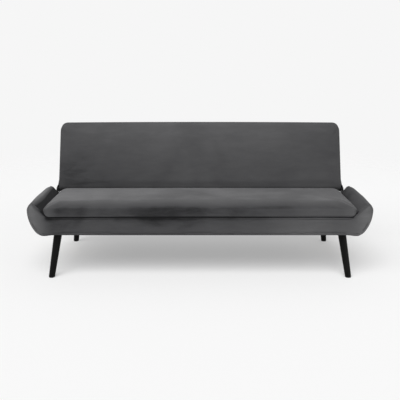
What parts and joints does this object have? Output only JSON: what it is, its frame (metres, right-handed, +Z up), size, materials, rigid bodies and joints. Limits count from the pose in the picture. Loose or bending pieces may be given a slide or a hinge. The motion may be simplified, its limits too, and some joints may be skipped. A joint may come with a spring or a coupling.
{
  "type": "sofa bed",
  "caption": "Click-clack sofa bed with a curled boat-shaped base, low arms, loose seat pad, reclining back and tapered legs; the back folds level with the seat to make a bed.",
  "frame": {"origin": "on the floor, under the middle of the sofa's bounding box", "axes": "+X along the sofa, to the right seen from the front; +Y to the back; +Z up"},
  "size_m": [1.96, 0.746, 0.8333],
  "materials": {
    "velvet": "short dense velvet pile, dark grey",
    "lining": "black non-woven lining",
    "timber": "raw planed pine and plywood",
    "sprung_birch": "bent birch plywood",
    "black_leg": "black satin lacquer on turned beech",
    "black_tube": "black powder coat",
    "zinc_steel": "zinc plated",
    "black_plastic": "moulded",
    "black_rubber": "moulded"
  },
  "bodies": {
    "base": {"front_panel": "velvet", "left_arm_cover": "velvet", "right_arm_cover": "velvet", "deck_lip": "velvet", "left_side_skirt": "velvet", "right_side_skirt": "velvet", "rear_skirt": "velvet", "dust_cover": "lining", "rear_deck": "lining", "front_board": "timber", "front_ledger": "timber", "mid_rail": "timber", "rear_rail": "timber", "left_side_rail": "timber", "right_side_rail": "timber", "centre_rails": "timber", "hinge_blocks": "timber", "arm_ribs": "timber", "corner_blocks": "timber", "front_left_leg": "black_leg", "front_right_leg": "black_leg", "rear_left_leg": "black_leg", "rear_right_leg": "black_leg", "left_hinge_bracket": "black_tube", "right_hinge_bracket": "black_tube", "leg_plates": "zinc_steel", "leg_bolts": "zinc_steel", "bracket_bolts": "zinc_steel", "left_pivot_pin": "zinc_steel", "right_pivot_pin": "zinc_steel", "pivot_clips": "zinc_steel", "stop_pins": "zinc_steel", "pawl_pins": "zinc_steel", "leg_glides": "black_plastic", "seat_bumpers": "black_rubber", "back_bumpers": "black_rubber"},
    "seat": {"seat_pad": "velvet", "seat_tube_front": "black_tube", "seat_tube_rear": "black_tube", "left_seat_tube": "black_tube", "right_seat_tube": "black_tube", "seat_tube_middle": "black_tube", "seat_slats": "sprung_birch", "slat_caps": "black_plastic", "left_seat_plate": "black_tube", "right_seat_plate": "black_tube"},
    "back": {"back_pad": "velvet", "back_rear_cover": "velvet", "back_board": "timber", "back_tube_top": "black_tube", "back_tube_bottom": "black_tube", "left_back_tube": "black_tube", "right_back_tube": "black_tube", "back_tube_middle": "black_tube", "left_back_plate": "black_tube", "right_back_plate": "black_tube", "back_bolts": "zinc_steel", "back_sleeves": "zinc_steel"},
    "left_pawl": {"left_pawl": "black_tube"},
    "right_pawl": {"right_pawl": "black_tube"}
  },
  "joints": [
    {"name": "back_recline", "type": "hinge", "parent": "base", "child": "back", "pos_m": [0, 0.161, 0.395], "axis": [-1, 0, 0], "range_deg": [0, 72]},
    {"name": "seat_lift", "type": "hinge", "parent": "base", "child": "seat", "pos_m": [0, 0.161, 0.395], "axis": [-1, 0, 0], "range_deg": [0, 28]},
    {"name": "left_pawl_lift", "type": "hinge", "parent": "base", "child": "left_pawl", "pos_m": [0, 0.11521, 0.3566], "axis": [-1, 0, 0], "range_deg": [0, 36]},
    {"name": "right_pawl_lift", "type": "hinge", "parent": "base", "child": "right_pawl", "pos_m": [0, 0.11521, 0.3566], "axis": [-1, 0, 0], "range_deg": [0, 36]}
  ],
  "couplings": [
    {"joint": "left_pawl_lift", "follows": "back_recline", "ratio": 0.5},
    {"joint": "right_pawl_lift", "follows": "back_recline", "ratio": 0.5}
  ]
}
